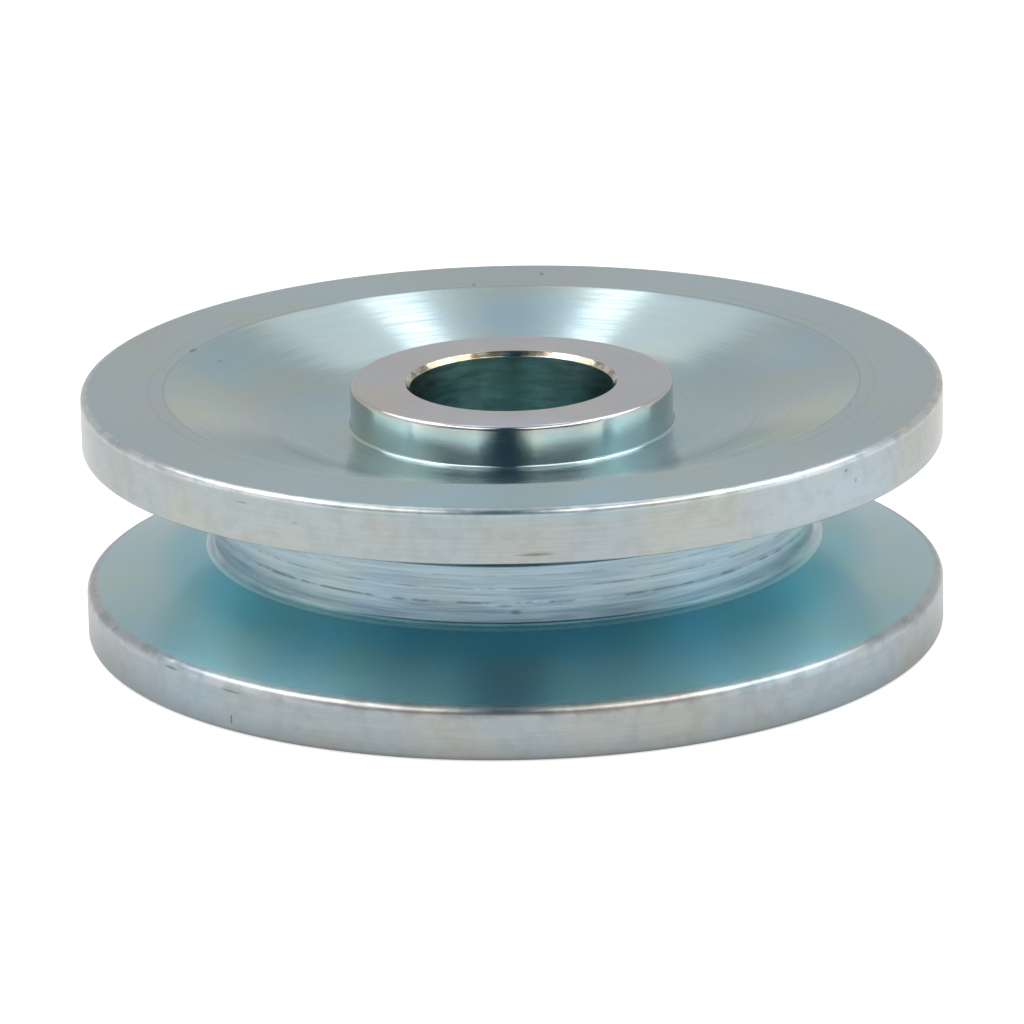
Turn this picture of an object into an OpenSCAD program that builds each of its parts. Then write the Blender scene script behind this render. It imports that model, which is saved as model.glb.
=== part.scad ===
// Alternator pulley for one V belt, turned from a single piece of steel.
// Origin at the centre of the bore on the back face, +Z along the bore towards the hub face.

/* [Rim] */
// Diameter over the two rim lands
outer_d = 72; // [64:0.5:90]
// Width of the rim land on the hub side of the groove
front_land_w = 4.5; // [3.5:0.1:8]
// Width of the rim land on the back side of the groove
back_land_w = 4.3; // [2.5:0.1:8]
// Radius on the outer edge of the front and back faces
rim_round = 0.45; // [0.2:0.05:1.2]
// Width of the flat ring on the front face, between the rim and the dish
front_ring_w = 7; // [4:0.1:9]

/* [Belt groove] */
// Width of the groove at the rim diameter, before its edges are rounded
groove_top_w = 12.2; // [10.5:0.1:16]
// Depth of the groove below the rim diameter
groove_depth = 10.9; // [8:0.1:13]
// Included angle between the walls of the groove
groove_angle = 36; // [32:0.5:40]
// Radius on the front edge at the mouth of the groove
front_mouth_round = 0.3; // [0.1:0.05:1]
// Radius on the back edge at the mouth of the groove
back_mouth_round = 0.7; // [0.1:0.05:1.2]
// Fillet radius in the two corners at the bottom of the groove
groove_root_fillet = 0.4; // [0.1:0.05:1]

/* [Dish] */
// Depth of the dish floor below the front face
dish_depth = 3.5; // [1.5:0.1:6]
// Radius that breaks the edge between the flat ring and the dish
dish_edge_round = 1.5; // [0.5:0.1:4]
// Width of the flat dish floor, from the hub to where the slope starts
dish_floor_w = 4.5; // [2:0.1:7]
// Radius that blends the dish floor into the slope, limited by both of them
dish_floor_round = 16; // [2:1:30]

/* [Hub] */
// Diameter of the hub inside the dish
hub_d = 27; // [24:0.5:34]
// Radius on the outer edge of the hub face
hub_edge_round = 0.35; // [0.1:0.05:1]
// Fillet radius at the foot of the hub
hub_root_fillet = 0.3; // [0.1:0.05:1.5]

/* [Bore] */
// Diameter of the shaft bore
bore_d = 17; // [12:0.1:20]
// Chamfer at both ends of the bore
bore_chamfer = 0.4; // [0.1:0.05:1]

/* [Hidden] */
$fn = 180;

width = back_land_w + groove_top_w + front_land_w;
rim_r = outer_d / 2;
groove_r = rim_r - groove_depth;
groove_wall_run = groove_depth * tan(groove_angle / 2);
dish_r = rim_r - front_ring_w;
hub_r = hub_d / 2;
bore_r = bore_d / 2;
front_mouth_z = width - front_land_w;
dish_floor_r = hub_r + dish_floor_w;
dish_slope = atan(dish_depth / (dish_r - dish_floor_r));
dish_wall = norm([dish_r - dish_floor_r, dish_depth]);
dish_blend = min(dish_floor_round, 0.8 * min(dish_floor_w, dish_wall) / tan(dish_slope / 2));

// Half section of the pulley, corner by corner: [radius from the axis, height, corner radius]
corners = [
    [bore_r, bore_chamfer, 0],
    [bore_r + bore_chamfer, 0, 0],
    [rim_r, 0, rim_round],
    [rim_r, back_land_w, back_mouth_round],
    [groove_r, back_land_w + groove_wall_run, groove_root_fillet],
    [groove_r, front_mouth_z - groove_wall_run, groove_root_fillet],
    [rim_r, front_mouth_z, front_mouth_round],
    [rim_r, width, rim_round],
    [dish_r, width, dish_edge_round],
    [dish_floor_r, width - dish_depth, dish_blend],
    [hub_r, width - dish_depth, hub_root_fillet],
    [hub_r, width, hub_edge_round],
    [bore_r + bore_chamfer, width, 0],
    [bore_r, width - bore_chamfer, 0],
];

function place(i) = [corners[i][0], corners[i][1]];
function previous(i) = place((i + len(corners) - 1) % len(corners));
function next(i) = place((i + 1) % len(corners));
function unit(v) = v / norm(v);
function is_outside_corner(i) = cross(place(i) - previous(i), next(i) - place(i)) > 0;

rounded = [for (i = [0 : len(corners) - 1]) if (corners[i][2] > 0) i];
outside_corners = [for (i = rounded) if (is_outside_corner(i)) i];
inside_corners = [for (i = rounded) if (!is_outside_corner(i)) i];

// The sharp wedge between a corner and the arc that touches both of its edges
module corner_wedge(i) {
    radius = corners[i][2];
    back = unit(previous(i) - place(i));
    ahead = unit(next(i) - place(i));
    half_angle = acos(back * ahead) / 2;
    reach = radius / tan(half_angle);
    difference() {
        polygon([place(i), place(i) + back * reach, place(i) + ahead * reach]);
        translate(place(i) + unit(back + ahead) * radius / sin(half_angle))
            circle(radius);
    }
}

// The section with its outside corners rounded off and its inside corners filled
module half_section() {
    difference() {
        polygon([for (i = [0 : len(corners) - 1]) place(i)]);
        for (i = outside_corners)
            corner_wedge(i);
    }
    for (i = inside_corners)
        corner_wedge(i);
}

// The whole pulley, turned as one piece and zinc plated
module pulley() {
    color([0.66, 0.71, 0.73])
        rotate_extrude()
            half_section();
}

pulley();
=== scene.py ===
"""Alternator pulley: the turned, zinc-plated steel body on a plain white studio floor."""

import math

import bpy
from mathutils import Matrix, Vector


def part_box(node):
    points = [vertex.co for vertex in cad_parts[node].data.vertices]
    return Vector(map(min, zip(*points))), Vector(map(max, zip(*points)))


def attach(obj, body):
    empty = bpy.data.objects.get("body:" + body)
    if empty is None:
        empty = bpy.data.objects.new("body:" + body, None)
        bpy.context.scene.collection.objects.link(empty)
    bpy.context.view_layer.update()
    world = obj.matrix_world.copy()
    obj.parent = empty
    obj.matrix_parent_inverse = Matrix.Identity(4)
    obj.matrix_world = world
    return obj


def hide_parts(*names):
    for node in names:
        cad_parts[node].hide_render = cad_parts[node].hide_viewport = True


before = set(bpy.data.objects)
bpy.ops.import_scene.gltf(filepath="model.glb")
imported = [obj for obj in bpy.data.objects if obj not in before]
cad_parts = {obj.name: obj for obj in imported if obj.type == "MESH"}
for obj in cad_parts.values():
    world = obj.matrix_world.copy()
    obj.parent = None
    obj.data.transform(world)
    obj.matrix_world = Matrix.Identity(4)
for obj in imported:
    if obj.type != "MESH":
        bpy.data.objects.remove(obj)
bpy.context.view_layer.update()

MM = 0.001

# Half section of the pulley, in millimetres
PULLEY = "pulley"
BOX_LOW, BOX_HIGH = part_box(PULLEY)
RIM_R = (BOX_HIGH[0] - BOX_LOW[0]) / 2 / MM
WIDTH = (BOX_HIGH[2] - BOX_LOW[2]) / MM
FRONT_LAND_W = 4.5
BACK_LAND_W = 4.3
GROOVE_DEPTH = 10.9
GROOVE_HALF_ANGLE = math.radians(18)
FRONT_RING_W = 7.0
DISH_DEPTH = 3.5
DISH_FLOOR_W = 4.5
DISH_FLOOR_ROUND = 16.0
HUB_R = 13.5
BORE_R = 8.5
BORE_CHAMFER = 0.4
CHAMFER_BREAK = 0.08
RIM_ROUND = 0.45
FRONT_MOUTH_ROUND = 0.3
BACK_MOUTH_ROUND = 0.7
ROOT_FILLET = 0.4
DISH_EDGE_ROUND = 1.5
HUB_EDGE_ROUND = 0.35
HUB_ROOT_FILLET = 0.3

GROOVE_R = RIM_R - GROOVE_DEPTH
GROOVE_WALL_RUN = GROOVE_DEPTH * math.tan(GROOVE_HALF_ANGLE)
BACK_ROOT_Z = BACK_LAND_W + GROOVE_WALL_RUN
FRONT_MOUTH_Z = WIDTH - FRONT_LAND_W
DISH_R = RIM_R - FRONT_RING_W
DISH_FLOOR_Z = WIDTH - DISH_DEPTH

# Mesh density: steps round the axis, the longest steps along the section, and the points beside its arcs
STEPS_AROUND = 480
ARC_STEP = math.radians(9)
FEWEST_ARC_STEPS = 4
STRAIGHT_STEP = 2.0
ARC_SUPPORT = 0.05

# Nicks in the edges of the rim, as (azimuth, height of the edge, half length, depth)
NICKS = [
    (9, WIDTH, 1.1, 0.14),
    (-51, BACK_LAND_W, 0.7, 0.08),
    (27, WIDTH, 0.6, 0.08),
    (-20, BACK_LAND_W, 0.9, 0.08),
]
NICK_REACH = 0.8

# Places on the part, as limits of radius (r) and height (z) and half the width of their soft edges
HUB = {"r_high": HUB_R + 0.3, "soft": 0.1}
HUB_SHOULDER = {**HUB, "z_low": WIDTH - 0.8, "soft": 0.5}
HUB_FACE = {**HUB, "z_low": WIDTH - 0.25}
BORE_END = {"r_high": BORE_R + 0.3, "soft": 0.25}
BORE_WALL = {"r_high": BORE_R + 0.2, "soft": 0.1}
CHAMFER = {"r_high": BORE_R + BORE_CHAMFER, "z_low": WIDTH - BORE_CHAMFER, "soft": 0.05}
DISH = {"r_low": HUB_R + 0.5, "r_high": DISH_R, "z_low": DISH_FLOOR_Z - 0.5, "soft": 0.15}
FRONT_LAND = {"r_low": RIM_R - 0.3, "z_low": WIDTH / 2, "soft": 0.25}
BACK_LAND = {"r_low": RIM_R - 0.3, "z_high": WIDTH / 2, "soft": 0.25}
BOTH_LANDS = {"r_low": RIM_R - 0.6, "soft": 0.1}
FACE_EDGE = {"r_low": RIM_R - 0.55, "z_low": WIDTH - 0.5, "soft": 0.12}
MOUTH_EDGE = {"r_low": RIM_R - 0.8, "z_low": BACK_LAND_W - 0.7, "z_high": BACK_LAND_W + 0.4, "soft": 0.15}
GROOVE = {"r_high": RIM_R - 0.3, "z_low": BACK_LAND_W, "z_high": FRONT_MOUTH_Z, "soft": 0.25}
GROOVE_INNER = {**GROOVE, "r_high": GROOVE_R + 4.4, "soft": 2.0}
GROOVE_WALLS = {**GROOVE, "r_low": GROOVE_R + 0.5, "soft": 0.3}
GROOVE_FLOOR = {**GROOVE, "r_high": GROOVE_R + 0.5}
GROOVE_FLOOR_BACK = {**GROOVE_FLOOR, "z_high": BACK_ROOT_Z + 1.16, "soft": 0.7}
SCORED_FLOOR = {**GROOVE_FLOOR, "soft": 0.2}
BACK_ROOT = {
    "r_low": GROOVE_R + 0.1, "r_high": GROOVE_R + 0.8,
    "z_low": BACK_ROOT_Z - 0.34, "z_high": BACK_ROOT_Z + 0.56, "soft": 0.1,
}

# Tints of the plate, as (place, colour, roughness), each over the ones before; the lighter tints on the
# groove's back root and the rim's edges are painted highlights, and the bore's chamfer is partly one
FACE_TINT = (0.42, 0.53, 0.56)
FACE_ROUGHNESS = 0.19
ZONES = [
    (HUB, (0.41, 0.52, 0.55), 0.16),
    (HUB_SHOULDER, (0.42, 0.45, 0.44), 0.16),
    (HUB_FACE, (0.52, 0.53, 0.555), 0.18),
    (FRONT_LAND, (0.40, 0.46, 0.475), 0.17),
    (BACK_LAND, (0.37, 0.43, 0.455), 0.17),
    (GROOVE, (0.37, 0.57, 0.63), 0.25),
    (GROOVE_INNER, (0.235, 0.52, 0.605), 0.25),
    (GROOVE_FLOOR, (0.36, 0.49, 0.565), 0.22),
    (GROOVE_FLOOR_BACK, (0.29, 0.41, 0.48), 0.22),
    # Painted highlight: the groove's back root fillet is lightened, so that a bright line runs along it
    (BACK_ROOT, (0.60, 0.76, 0.79), 0.30),
    # Painted highlight, in part: the rim's edges are lighter than the faces beside them, the front face's
    # edge most of all
    (FACE_EDGE, (0.62, 0.66, 0.68), 0.30),
    (MOUTH_EDGE, (0.45, 0.50, 0.53), 0.30),
    (BORE_END, (0.42, 0.64, 0.68), 0.20),
    # Partly painted highlight: the bore's chamfer is lighter and warmer than the bore, so that its highlight
    # shows cream
    (CHAMFER, (0.66, 0.64, 0.57), 0.12),
]

# Soft stains in the plate, and a painted shade on the front of the rim's wall, as (azimuth, radius, height,
# size around, across and up, colour it multiplies by)
STAINS_AND_SHADE = [
    (0, 33, WIDTH, (22, 9, 1.5), (0.84, 1.05, 1.16)),
    (-84, 33.5, 5, (9, 9, 4), (1.12, 1.05, 0.96)),
    (82, 33.5, 5, (9, 9, 4), (1.12, 1.05, 0.98)),
    # Painted shade: the front of the upper rim's wall is darkened slightly, standing in for a dimmer
    # reflection there
    (0, RIM_R, 18.5, (22, 3, 5), (0.93, 0.94, 0.96)),
    (48, RIM_R, 18.5, (14, 3, 5), (1.05, 1.11, 1.22)),
    (-47, RIM_R, 2.2, (12, 3, 4), (1.03, 1.10, 1.20)),
    (50, RIM_R, 2.2, (12, 3, 4), (1.06, 1.12, 1.20)),
    (0, 12.8, WIDTH, (6, 3, 2), (1.03, 1.12, 1.24)),
    (72, GROOVE_R, 10.5, (5, 3, 4), (0.95, 1.25, 1.16)),
    (-66, HUB_R, 19.5, (7, 3, 4), (1.08, 1.0, 0.86)),
]

# Stains that stop at the edge of the dish, and a painted shade at its back between the two highlights
DISH_STAINS_AND_SHADE = [
    (66, 26, 20, (12, 9, 3), (1.20, 1.12, 0.86)),
    (-80, 26, 20, (13, 8, 3), (1.18, 1.12, 0.95)),
    (-112, 26, 20, (8, 6, 3), (0.88, 1.03, 1.08)),
    (118, 25, 20, (9, 6, 3), (1.05, 1.12, 1.24)),
    (50, 25, 19.7, (7, 6, 3), (1.12, 1.28, 1.20)),
    (-48, 24.5, 19.5, (8, 6, 3), (1.14, 1.20, 1.14)),
    # Painted shade: the back of the dish is darker and bluer between the two highlights
    (180, 25, 19.7, (9, 8, 4), (0.82, 0.93, 1.02)),
]

# Small dark marks, as (azimuth, radius, height, size around, across and up, weight)
MARKS = [
    (-112, 29.1, WIDTH, (0.8, 0.35, 0.5), 1.0),
    (-112, 26.6, 20.3, (0.7, 0.3, 0.4), 0.3),
    (175, 32.8, WIDTH, (0.3, 0.7, 0.4), 0.42),
    (-174, 29.7, WIDTH, (0.3, 0.7, 0.4), 0.42),
    (72, 29.2, WIDTH, (0.7, 0.3, 0.4), 0.3),
    (42, 19.0, 17.9, (0.4, 0.5, 0.4), 0.42),
    (-2.2, GROOVE_R, 9.5, (0.9, 0.5, 0.22), 0.5),
    (0, GROOVE_R, 8.9, (0.7, 0.5, 0.3), 0.6),
    (2.5, RIM_R, 17.3, (2.2, 0.5, 0.22), 0.5),
    (-37, RIM_R, 19.8, (0.9, 0.4, 0.16), 0.36),
    (-29, RIM_R, 18.9, (0.6, 0.4, 0.2), 0.3),
    (-40, RIM_R, 1.15, (0.14, 0.4, 0.55), 1.0),
    (-34, 30.5, 6.1, (0.9, 0.6, 0.35), 0.36),
    (48, RIM_R, 20.0, (0.35, 0.4, 0.2), 0.42),
    (50, RIM_R, 18.9, (0.3, 0.4, 0.25), 0.42),
    (-51.5, 35.9, 3.9, (1.4, 0.6, 0.24), 0.5),
    (-40, RIM_R, 3.5, (1.7, 0.4, 0.2), 0.42),
]
MARK_TINT = (0.46, 0.47, 0.48)

# Turned lines, as (radius, half width, shade) on the front face and (height, half width, shade) in the groove
FACE_LINES = [(29.1, 0.14, 0.84), (30.3, 0.2, 0.93)]
GROOVE_LINES = [(9.7, 0.16, 0.45), (10.9, 0.12, 0.60), (12.0, 0.09, 0.75)]

# Noises that the turning drew out, as (length in radians, pitch in millimetres, detail)
TURNED_NOISES = {"fine": (0.25, 0.16, 1.0), "dashes": (0.35, 0.55, 2.0)}

# Noises alike in every direction, as (scale, detail)
EVEN_NOISES = {"cloud": (0.16, 0.0), "mottle": (0.6, 2.0)}
NOISE_ROUGHNESS = 0.6

# Uneven colour, as (place, noise, range of the noise from none to full, colour it multiplies by)
PATCHES = [
    (BORE_WALL, "dashes", (0.45, 0.65), (0.85, 0.82, 0.75)),
    (BORE_WALL, "mottle", (0.45, 0.65), (1.22, 1.16, 1.10)),
    (CHAMFER, "mottle", (0.42, 0.55), (0.50, 0.47, 0.42)),
    (BOTH_LANDS, "mottle", (0.45, 0.65), (0.93, 0.93, 0.91)),
    (FACE_EDGE, "mottle", (0.45, 0.65), (0.83, 0.85, 0.87)),
    (MOUTH_EDGE, "mottle", (0.45, 0.65), (0.83, 0.85, 0.87)),
]

# Ramps of the plate's noises and heights, as the range that a value is taken from and the one it is taken to
MARK_RAGGED = (0.3, 0.7, 0.3, 1.5)
MARK_EDGE = (0.05, 0.45, 0.0, 1.0)
FACE_HEIGHT = (WIDTH - 1.0, WIDTH - 0.8, 0.0, 1.0)
LINE_BREAKS = (0.42, 0.58, 0.0, 1.0)
SCORE_HEIGHT = (12.5, 8.5, 0.35, 1.0)
SCORE_DASHES = (0.43, 0.66, 0.0, 1.0)
CLOUDED = (0.45, 0.70, 0.0, 1.0)
TURNED = (0.35, 0.65, 0.0, 0.22)
FINE_ROUGHNESS = (0.3, 0.7, -0.03, 0.03)
DISH_ROUGHNESS = (0.35, 0.65, -0.04, 0.04)

# Tints that go with those ramps, the share of the relief that the groove's walls lose, and the relief's depth
SCORE_TINT = (0.60, 0.65, 0.70)
CLOUD_TINT = (1.06, 1.0, 0.92)
TURNED_TINT = (0.86, 0.88, 0.90)
WALL_SMOOTHNESS = 0.9
BUMP_DEPTH = 0.0035 * MM

# Floor, in metres: its grey, the glow that the camera and the metal see on it, and less of it by the part
FLOOR_HALF = 3.0
FLOOR_DROP = 0.00002
FLOOR_GREY = (0.5, 0.5, 0.5, 1)
SEEN_GLOW = 0.66
MIRRORED_GLOW = (0.0, 0.06, 0.485, 0.22)
CONTACT_SHADE = (RIM_R * MM, RIM_R * MM + 0.005, 0.4, 1.0)

# Soft panels, as (name, azimuth, elevation, lean, span across and up, radiance, colour), in degrees
PANEL_DISTANCE = 0.7
WHITE = (1.0, 1.0, 1.0)
WARM = (1.0, 0.82, 0.72)
PANELS = [
    ("back_left", -172.5, 49.8, -23, (2.5, 22), 1.75, WHITE),
    ("back_right", 171.7, 49.8, 23, (2.6, 22), 1.75, WHITE),
    ("fill_left", -150, 53, 0, (32, 24), 0.55, WHITE),
    ("fill_right", 150, 53, 0, (32, 24), 0.55, WHITE),
    ("upper_left", -106, 52, 0, (33, 28), 2.7, WHITE),
    ("upper_right", 104, 52, 0, (34, 28), 2.7, WHITE),
    ("front_left", -54, 53, 0, (42, 24), 3.6, WARM),
    ("front_right", 44, 53, 0, (43, 24), 3.6, WARM),
]

# Room: its colours, and the ranges of the direction's X, Y and Z over which they change
ROOM_FRONT = (0.005, 0.06, 0.10, 1)
ROOM_BACK = (0.61, 0.61, 0.61, 1)
SIDE_LEFT = (1.0, 1.0, 0.94, 1)
SIDE_RIGHT = (1.05, 1.28, 1.28, 1)
FRONT_TO_BACK = (-0.30, 0.15, 0.0, 1.0)
LEFT_TO_RIGHT = (-0.2, 0.2, 0.0, 1.0)
SIDE_GLOW = (0.62, 1.0, 0.0, 1.15)
FAINT_GLOW = (0.0, 0.5, 0.0, 0.06)
GLOW_BY_HEIGHT = (0.35, 0.70, 1.0, 0.0)
GLOW_BY_BACK = (0.0, 1.0, 1.0, 0.25)

# Camera, from the fit of the photograph's edges
CAMERA_DISTANCE = 0.6025
CAMERA_ELEVATION = math.radians(17.57)
CAMERA_ROLL = math.radians(-1.15)
CAMERA_LENS = 252.1
CAMERA_SENSOR = 36
CAMERA_AIM = Vector((-0.00016, 0, 0.00946))


def section_corners():
    """The corners of the half section, each (radius, height, corner radius), counter-clockwise."""
    return [
        (BORE_R, BORE_CHAMFER, CHAMFER_BREAK),
        (BORE_R + BORE_CHAMFER, 0, CHAMFER_BREAK),
        (RIM_R, 0, RIM_ROUND),
        (RIM_R, BACK_LAND_W, BACK_MOUTH_ROUND),
        (GROOVE_R, BACK_ROOT_Z, ROOT_FILLET),
        (GROOVE_R, FRONT_MOUTH_Z - GROOVE_WALL_RUN, ROOT_FILLET),
        (RIM_R, FRONT_MOUTH_Z, FRONT_MOUTH_ROUND),
        (RIM_R, WIDTH, RIM_ROUND),
        (DISH_R, WIDTH, DISH_EDGE_ROUND),
        (HUB_R + DISH_FLOOR_W, DISH_FLOOR_Z, DISH_FLOOR_ROUND),
        (HUB_R, DISH_FLOOR_Z, HUB_ROOT_FILLET),
        (HUB_R, WIDTH, HUB_EDGE_ROUND),
        (BORE_R + BORE_CHAMFER, WIDTH, CHAMFER_BREAK),
        (BORE_R, WIDTH - BORE_CHAMFER, CHAMFER_BREAK),
    ]


def corner_arc(before, corner, after, radius):
    """Points of the arc that touches both edges of a corner, from the edge before to the edge after."""
    back, ahead = (before - corner).normalized(), (after - corner).normalized()
    half_angle = back.angle(ahead) / 2
    reach = radius / math.tan(half_angle)
    centre = corner + (back + ahead).normalized() * radius / math.sin(half_angle)
    start = corner + back * reach - centre
    turn = start.angle_signed(corner + ahead * reach - centre)
    steps = max(FEWEST_ARC_STEPS, math.ceil(abs(turn) / ARC_STEP))
    return [centre + Matrix.Rotation(-turn * i / steps, 2) @ start for i in range(steps + 1)]


def straight_run(start, end):
    """Points between two arcs: one close to each end, and the rest evenly spaced."""
    along = end - start
    inner = along.length - 2 * ARC_SUPPORT
    if inner <= ARC_SUPPORT:
        return []
    steps = max(1, math.ceil(inner / STRAIGHT_STEP))
    unit = along.normalized()
    return [start + unit * (ARC_SUPPORT + inner * i / steps) for i in range(steps + 1)]


def section_points():
    """The half section's closed outline as (radius, height) points, with round corners."""
    corners = section_corners()
    places = [Vector(c[:2]) for c in corners]
    arcs = []
    for i, place in enumerate(places):
        arcs.append(corner_arc(places[i - 1], place, places[(i + 1) % len(places)], corners[i][2]))
    points = []
    for i, arc in enumerate(arcs):
        points += arc + straight_run(arc[-1], arcs[(i + 1) % len(arcs)][0])
    return points


def nick_depth(point, azimuth):
    """How far a point of the section is pushed in towards the axis by the nicks in the rim's edges."""
    depth = 0.0
    for middle, edge, half_length, deepest in NICKS:
        turn = (azimuth - math.radians(middle) + math.pi) % (2 * math.pi) - math.pi
        along = turn * RIM_R / half_length
        across = math.hypot(RIM_R - point.x, edge - point.y) / NICK_REACH
        depth += deepest * max(0.0, 1 - along * along) * max(0.0, 1 - across)
    return depth


def turned_mesh(name, outline):
    """A mesh made by turning a closed outline about Z, with every face smooth."""
    count = len(outline)
    vertices, faces = [], []
    for step in range(STEPS_AROUND):
        azimuth = 2 * math.pi * step / STEPS_AROUND
        c, s = math.cos(azimuth) * MM, math.sin(azimuth) * MM
        for p in outline:
            r = p.x - nick_depth(p, azimuth)
            vertices.append((r * s, -r * c, p.y * MM))
        this, other = step * count, (step + 1) % STEPS_AROUND * count
        for i in range(count):
            j = (i + 1) % count
            faces.append((this + i, other + i, other + j, this + j))
    mesh = bpy.data.meshes.new(name)
    mesh.from_pydata(vertices, [], faces)
    mesh.shade_smooth()
    return mesh


class Nodes:
    """A short way to write a node tree: each call adds a node or two and links their inputs."""

    def __init__(self, tree):
        self.tree = tree
        tree.nodes.clear()

    def add(self, kind, inputs=None, out=0, **settings):
        """A node, of which one output is returned, or the node itself if it has none."""
        node = self.tree.nodes.new(kind)
        for key, value in settings.items():
            setattr(node, key, value)
        for key, value in (inputs or {}).items():
            socket = node.inputs[key]
            if isinstance(value, bpy.types.NodeSocket):
                self.tree.links.new(value, socket)
            else:
                socket.default_value = value
        return node.outputs[out] if node.outputs else node

    def math(self, operation, a, b=0.0, c=0.0):
        return self.add("ShaderNodeMath", {0: a, 1: b, 2: c}, operation=operation)

    def product(self, first, *others):
        for other in others:
            first = self.math("MULTIPLY", first, other)
        return first

    def vector(self, operation, inputs, out="Vector"):
        return self.add("ShaderNodeVectorMath", inputs, out, operation=operation)

    def ramp(self, value, low, high, to_low=0.0, to_high=1.0, shape="LINEAR"):
        """A value taken from one range to another, and held at its ends."""
        inputs = {"Value": value, "From Min": low, "From Max": high, "To Min": to_low, "To Max": to_high}
        return self.add("ShaderNodeMapRange", inputs, interpolation_type=shape)

    def mix(self, factor, under, over, kind="RGBA", blend="MIX"):
        """One colour laid over another, or one value if the kind is FLOAT."""
        inputs = {"Factor": factor, "A": under, "B": over}
        return self.add("ShaderNodeMix", inputs, "Result", data_type=kind, blend_type=blend)


class Plate(Nodes):
    """The nodes of the zinc plate: where a point lies on the part, the noises, and the colour so far."""

    def __init__(self, tree):
        super().__init__(tree)
        position = self.add("ShaderNodeTexCoord", out="Object")
        self.point = self.vector("SCALE", {0: position, "Scale": 1 / MM})
        xyz = self.add("ShaderNodeSeparateXYZ", {0: self.point}).node.outputs
        flat = self.add("ShaderNodeCombineXYZ", {0: xyz["X"], 1: xyz["Y"]})
        self.height = xyz["Z"]
        self.radius = self.vector("LENGTH", {0: flat}, "Value")
        self.around = self.vector("NORMALIZE", {0: flat})
        self.along = self.math("ADD", self.radius, self.height)
        self.noises = {name: self.turned_noise(*noise) for name, noise in TURNED_NOISES.items()}
        for name, noise in EVEN_NOISES.items():
            self.noises[name] = self.noise(self.point, *noise)
        self.steps = {}
        self.colour = (*FACE_TINT, 1)
        self.roughness = FACE_ROUGHNESS

    def noise(self, where, scale, detail):
        inputs = {"Vector": where, "Scale": scale, "Detail": detail, "Roughness": NOISE_ROUGHNESS}
        return self.add("ShaderNodeTexNoise", inputs)

    def turned_noise(self, length, pitch, detail):
        """Noise drawn out round the axis: dashes of about a length in radians, a pitch apart in mm."""
        ring = self.vector("SCALE", {0: self.around, "Scale": 1 / length})
        rise = self.add("ShaderNodeCombineXYZ", {2: self.math("DIVIDE", self.along, pitch)})
        return self.noise(self.vector("ADD", {0: ring, 1: rise}), 1.0, detail)

    def step(self, limit, edge, soft):
        """1 on a place's side of one of its limits, 0 on the other side. Places share equal steps."""
        key = (limit, edge, soft)
        if key not in self.steps:
            value = self.radius if limit.startswith("r") else self.height
            side = soft if limit.endswith("low") else -soft
            self.steps[key] = self.ramp(value, edge - side, edge + side, shape="SMOOTHSTEP")
        return self.steps[key]

    def mask(self, place):
        """1 inside a place on the part, 0 outside, with soft edges."""
        limits = {name: edge for name, edge in place.items() if name != "soft"}
        return self.product(*(self.step(name, edge, place["soft"]) for name, edge in limits.items()))

    def spot(self, azimuth, radius, height, size):
        """1 at a point of the part, falling to 0 at its size around, across and up."""
        turn = math.radians(azimuth)
        falloff = self.add("ShaderNodeTexGradient", {0: self.point}, out=1, gradient_type="SPHERICAL")
        local = falloff.node.texture_mapping
        local.vector_type = "TEXTURE"
        local.translation = (radius * math.sin(turn), -radius * math.cos(turn), height)
        local.rotation = (0, 0, turn)
        local.scale = size
        return falloff

    def tint(self, factor, tint):
        self.colour = self.mix(factor, self.colour, (*tint, 1), blend="MULTIPLY")

    def line(self, value, middle, half_width, shade, where):
        """A line of the plate where a value is near the line's middle."""
        gap = self.math("ABSOLUTE", self.math("SUBTRACT", value, middle))
        self.tint(self.product(self.ramp(gap, half_width, 0.0), where), (shade, shade, shade))


def paint_zones(plate):
    for place, colour, roughness in ZONES:
        mask = plate.mask(place)
        plate.colour = plate.mix(mask, plate.colour, (*colour, 1))
        plate.roughness = plate.mix(mask, plate.roughness, roughness, "FLOAT")


# Stains and painted shade, uneven patches and the cloud, multiplied into the plate's colour
def paint_stains_and_shade(plate, dish):
    for *where, tint in STAINS_AND_SHADE:
        plate.tint(plate.spot(*where), tint)
    for *where, tint in DISH_STAINS_AND_SHADE:
        plate.tint(plate.product(dish, plate.spot(*where)), tint)
    for place, noise, noise_range, tint in PATCHES:
        plate.tint(plate.product(plate.mask(place), plate.ramp(plate.noises[noise], *noise_range)), tint)
    plate.tint(plate.ramp(plate.noises["cloud"], *CLOUDED), CLOUD_TINT)


def paint_marks(plate):
    """Small dark marks, which the fine noise makes ragged."""
    marked = 0.0
    for *where, weight in MARKS:
        marked = plate.math("MULTIPLY_ADD", plate.spot(*where), weight, marked)
    ragged = plate.product(marked, plate.ramp(plate.noises["fine"], *MARK_RAGGED))
    plate.tint(plate.ramp(ragged, *MARK_EDGE), MARK_TINT)


def paint_lines(plate, smooth):
    """Lines turned into the face, scores in the bottom of the groove, and the turning's fine grain."""
    face = plate.ramp(plate.height, *FACE_HEIGHT)
    for line in FACE_LINES:
        plate.line(plate.radius, *line, face)
    floor = plate.mask(SCORED_FLOOR)
    broken = plate.product(floor, plate.ramp(plate.noises["mottle"], *LINE_BREAKS))
    for line in GROOVE_LINES:
        plate.line(plate.height, *line, broken)
    lower = plate.product(floor, plate.ramp(plate.height, *SCORE_HEIGHT))
    plate.tint(plate.product(lower, plate.ramp(plate.noises["dashes"], *SCORE_DASHES)), SCORE_TINT)
    grain = plate.ramp(plate.noises["fine"], *TURNED)
    plate.tint(plate.product(grain, plate.math("SUBTRACT", 1.0, smooth)), TURNED_TINT)


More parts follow.
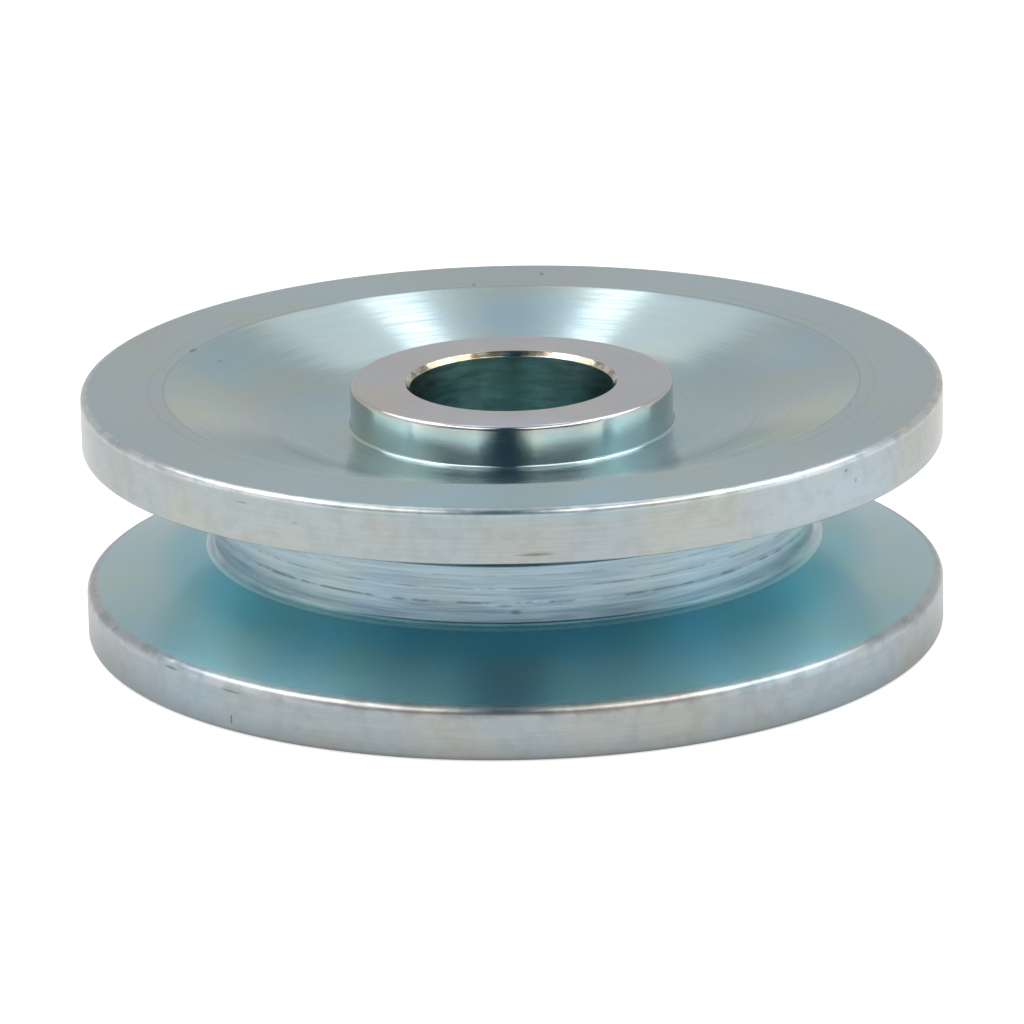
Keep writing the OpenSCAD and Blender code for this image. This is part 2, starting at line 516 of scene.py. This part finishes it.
def steel_material():
    """Turned steel with a blue-clear zinc plate, smoothest on the walls of the groove."""
    material = bpy.data.materials.new("zinc_plated_steel")
    material.use_nodes = True
    plate = Plate(material.node_tree)
    dish, smooth = plate.mask(DISH), plate.mask(GROOVE_WALLS)
    paint_zones(plate)
    paint_stains_and_shade(plate, dish)
    paint_marks(plate)
    paint_lines(plate, smooth)
    relief = plate.math("SUBTRACT", 1.0, plate.product(smooth, WALL_SMOOTHNESS))
    uneven = plate.product(relief, plate.ramp(plate.noises["fine"], *FINE_ROUGHNESS))
    streaks = plate.product(dish, plate.ramp(plate.noises["dashes"], *DISH_ROUGHNESS))
    shader = plate.add("ShaderNodeBsdfPrincipled", {
        "Base Color": plate.colour,
        "Metallic": 1.0,
        "Roughness": plate.math("ADD", plate.math("ADD", plate.roughness, uneven), streaks),
        "Anisotropic": 0.9,
        "Anisotropic Rotation": 0.25,
        "Normal": plate.add("ShaderNodeBump", {
            "Height": plate.noises["fine"], "Strength": relief, "Distance": BUMP_DEPTH,
        }),
        "Tangent": plate.add("ShaderNodeTangent", direction_type="RADIAL", axis="Z"),
    })
    plate.add("ShaderNodeOutputMaterial", {"Surface": shader})
    return material


def floor_material():
    """White floor that stays white to the camera, is grey in the metal, and keeps the shadow."""
    material = bpy.data.materials.new("studio_floor")
    material.use_nodes = True
    n = Nodes(material.node_tree)
    ray = n.add("ShaderNodeLightPath").node.outputs
    place = n.add("ShaderNodeTexCoord", out="Object")
    depth = n.add("ShaderNodeSeparateXYZ", {0: place}, out="Y")
    away = n.vector("LENGTH", {0: place}, "Value")
    mirrored = n.math("MAXIMUM", ray["Is Glossy Ray"], ray["Is Transmission Ray"])
    mirrored = n.product(mirrored, n.ramp(depth, *MIRRORED_GLOW), n.ramp(away, *CONTACT_SHADE))
    glow = n.math("ADD", n.product(ray["Is Camera Ray"], SEEN_GLOW), mirrored)
    paint = n.add("ShaderNodeBsdfDiffuse", {"Color": FLOOR_GREY})
    lift = n.add("ShaderNodeEmission", {"Color": (*WHITE, 1), "Strength": glow})
    above = n.add("ShaderNodeAddShader", {0: paint, 1: lift})
    below = n.add("ShaderNodeBsdfTransparent")
    under = n.add("ShaderNodeNewGeometry", out="Backfacing")
    shown = n.add("ShaderNodeMixShader", {0: under, 1: above, 2: below})
    n.add("ShaderNodeOutputMaterial", {"Surface": shown})
    return material


def add_pulley():
    mesh = turned_mesh("turned_pulley", section_points())
    mesh.materials.append(steel_material())
    body = bpy.data.objects.new("turned_pulley", mesh)
    bpy.context.scene.collection.objects.link(body)
    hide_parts(PULLEY)
    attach(body, "root")


def add_floor():
    signs = [(-1, -1), (1, -1), (1, 1), (-1, 1)]
    corners = [(x * FLOOR_HALF, y * FLOOR_HALF, -FLOOR_DROP) for x, y in signs]
    mesh = bpy.data.meshes.new("floor")
    mesh.from_pydata(corners, [], [(0, 1, 2, 3)])
    mesh.materials.append(floor_material())
    floor = bpy.data.objects.new("floor", mesh)
    bpy.context.scene.collection.objects.link(floor)


def add_softbox(name, azimuth, elevation, lean, span, radiance, colour):
    """A soft panel that faces the part; azimuth from the camera's side, span in degrees across and up."""
    light = bpy.data.lights.new("softbox_" + name, "AREA")
    light.shape = "RECTANGLE"
    light.size, light.size_y = (2 * PANEL_DISTANCE * math.tan(math.radians(angle) / 2) for angle in span)
    light.energy = radiance * math.pi * light.size * light.size_y
    light.color = colour
    lamp = bpy.data.objects.new(light.name, light)
    a, e = math.radians(azimuth), math.radians(elevation)
    away = Vector((math.sin(a) * math.cos(e), -math.cos(a) * math.cos(e), math.sin(e)))
    lamp.location = away * PANEL_DISTANCE
    turn = away.to_track_quat("Z", "Y").to_matrix() @ Matrix.Rotation(math.radians(lean), 3, "Z")
    lamp.rotation_euler = turn.to_euler()
    bpy.context.scene.collection.objects.link(lamp)


def room_colour(n):
    """The room by direction: dim on the camera's side, pale behind the part, with a glow on either side."""
    direction = n.add("ShaderNodeTexCoord", out="Generated")
    xyz = n.add("ShaderNodeSeparateXYZ", {0: direction}).node.outputs
    behind = n.ramp(xyz["Y"], *FRONT_TO_BACK, shape="SMOOTHSTEP")
    sideways = n.math("ABSOLUTE", xyz["X"])
    strong = n.ramp(sideways, *SIDE_GLOW, shape="SMOOTHSTEP")
    faint = n.ramp(sideways, *FAINT_GLOW, shape="SMOOTHSTEP")
    low = n.ramp(xyz["Z"], *GLOW_BY_HEIGHT)
    glow = n.product(n.math("ADD", strong, faint), low, n.ramp(behind, *GLOW_BY_BACK))
    plain = n.mix(behind, ROOM_FRONT, ROOM_BACK)
    side = n.mix(n.ramp(xyz["X"], *LEFT_TO_RIGHT), SIDE_LEFT, SIDE_RIGHT)
    return n.mix(glow, plain, side, blend="ADD")


def add_world():
    """The room, which the camera itself sees as white."""
    world = bpy.data.worlds.new("studio")
    world.use_nodes = True
    bpy.context.scene.world = world
    n = Nodes(world.node_tree)
    room = n.add("ShaderNodeBackground", {"Color": room_colour(n), "Strength": 1.0})
    white = n.add("ShaderNodeBackground", {"Color": (*WHITE, 1), "Strength": 1.0})
    seen = n.add("ShaderNodeLightPath", out="Is Camera Ray")
    shown = n.add("ShaderNodeMixShader", {0: seen, 1: room, 2: white})
    n.add("ShaderNodeOutputWorld", {"Surface": shown})


def add_camera():
    data = bpy.data.cameras.new("camera")
    data.sensor_width = CAMERA_SENSOR
    data.lens = CAMERA_LENS
    camera = bpy.data.objects.new("camera", data)
    toward = Vector((0, -math.cos(CAMERA_ELEVATION), math.sin(CAMERA_ELEVATION)))
    camera.location = CAMERA_AIM + toward * CAMERA_DISTANCE
    turn = toward.to_track_quat("Z", "Y").to_matrix() @ Matrix.Rotation(CAMERA_ROLL, 3, "Z")
    camera.rotation_euler = turn.to_euler()
    bpy.context.scene.collection.objects.link(camera)
    bpy.context.scene.camera = camera


add_pulley()
add_floor()
for panel in PANELS:
    add_softbox(*panel)
add_world()
add_camera()
bpy.context.scene.view_settings.view_transform = "Standard"
